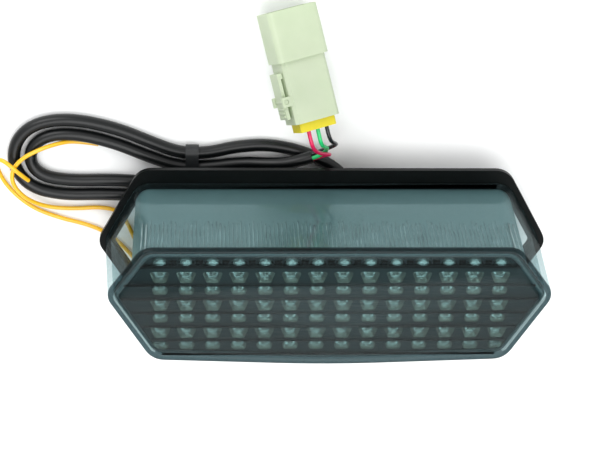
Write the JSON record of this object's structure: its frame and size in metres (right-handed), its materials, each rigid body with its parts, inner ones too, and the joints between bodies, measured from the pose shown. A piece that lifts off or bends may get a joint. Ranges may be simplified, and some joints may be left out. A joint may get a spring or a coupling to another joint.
{
  "type": "motorcycle tail light",
  "caption": "Smoked integrated LED tail light with turn signals, deep hexagonal lens, rimmed rear housing, coiled cable and plug connector",
  "frame": {"origin": "centre of the lamp's footprint, on the plane of the mounting bosses' ends", "axes": "+Z out through the lens face (rearwards on the machine), +Y towards the lamp's upper side, +X to the right as seen from outside the lens"},
  "size_m": [0.2085, 0.1228, 0.0708],
  "materials": {
    "smoked_lens": "smoked clear polycarbonate",
    "black_housing": "moulded black ABS",
    "grey_carrier": "moulded dark grey ABS",
    "metallised_plastic": "vacuum metallised",
    "black_rubber": "soft moulded",
    "cable_sleeve": "soft black PVC",
    "brass": "turned",
    "zinc_steel": "zinc plated",
    "circuit_board": "white solder mask",
    "clear_led": "clear epoxy",
    "black_component": "moulded epoxy",
    "capacitor_can": "sleeved",
    "natural_nylon": "natural nylon",
    "yellow_nylon": "coloured nylon",
    "tinned_brass": "tin plated",
    "red_wire": "PVC",
    "green_wire": "PVC",
    "black_wire": "PVC",
    "yellow_wire": "PVC",
    "black_tape": "PVC tape"
  },
  "bodies": {
    "lamp": {"black_wire": "black_wire", "board_screws": "zinc_steel", "board_socket": "natural_nylon", "breather_vent": "black_rubber", "cable_gland": "black_rubber", "cable_tail": "cable_sleeve", "capacitor": "capacitor_can", "carrier_screws": "zinc_steel", "connector_housing": "natural_nylon", "driver_chips": "black_component", "green_wire": "green_wire", "inner_ground_lead": "black_wire", "inner_stop_lead": "red_wire", "inner_tail_lead": "green_wire", "inner_turn_lead": "yellow_wire", "led_board": "circuit_board", "led_carrier": "grey_carrier", "left_turn_leds": "clear_led", "lens_cover": "smoked_lens", "lens_seal": "black_rubber", "load_resistors": "black_component", "main_cable": "cable_sleeve", "rear_housing": "black_housing", "red_wire": "red_wire", "reflector": "metallised_plastic", "right_turn_leds": "clear_led", "stop_tail_leds": "clear_led", "tape_wrap": "black_tape", "terminals": "tinned_brass", "threaded_inserts": "brass", "yellow_wire_left": "yellow_wire", "yellow_wire_right": "yellow_wire"},
    "latch": {"connector_latch": "natural_nylon"},
    "retainer": {"connector_retainer": "yellow_nylon"}
  },
  "joints": [
    {"name": "latch_press", "type": "hinge", "parent": "lamp", "child": "latch", "pos_m": [-0.01676, 0.05778, 0.02279], "axis": [0.2917, 0.3588, 0.8867], "range_deg": [0, 6], "stiffness_Nm_per_rad": 0.3},
    {"name": "retainer_slide", "type": "slide", "parent": "lamp", "child": "retainer", "axis": [0.2475, -0.9237, 0.2924], "range_m": [0, 0.0025]}
  ]
}
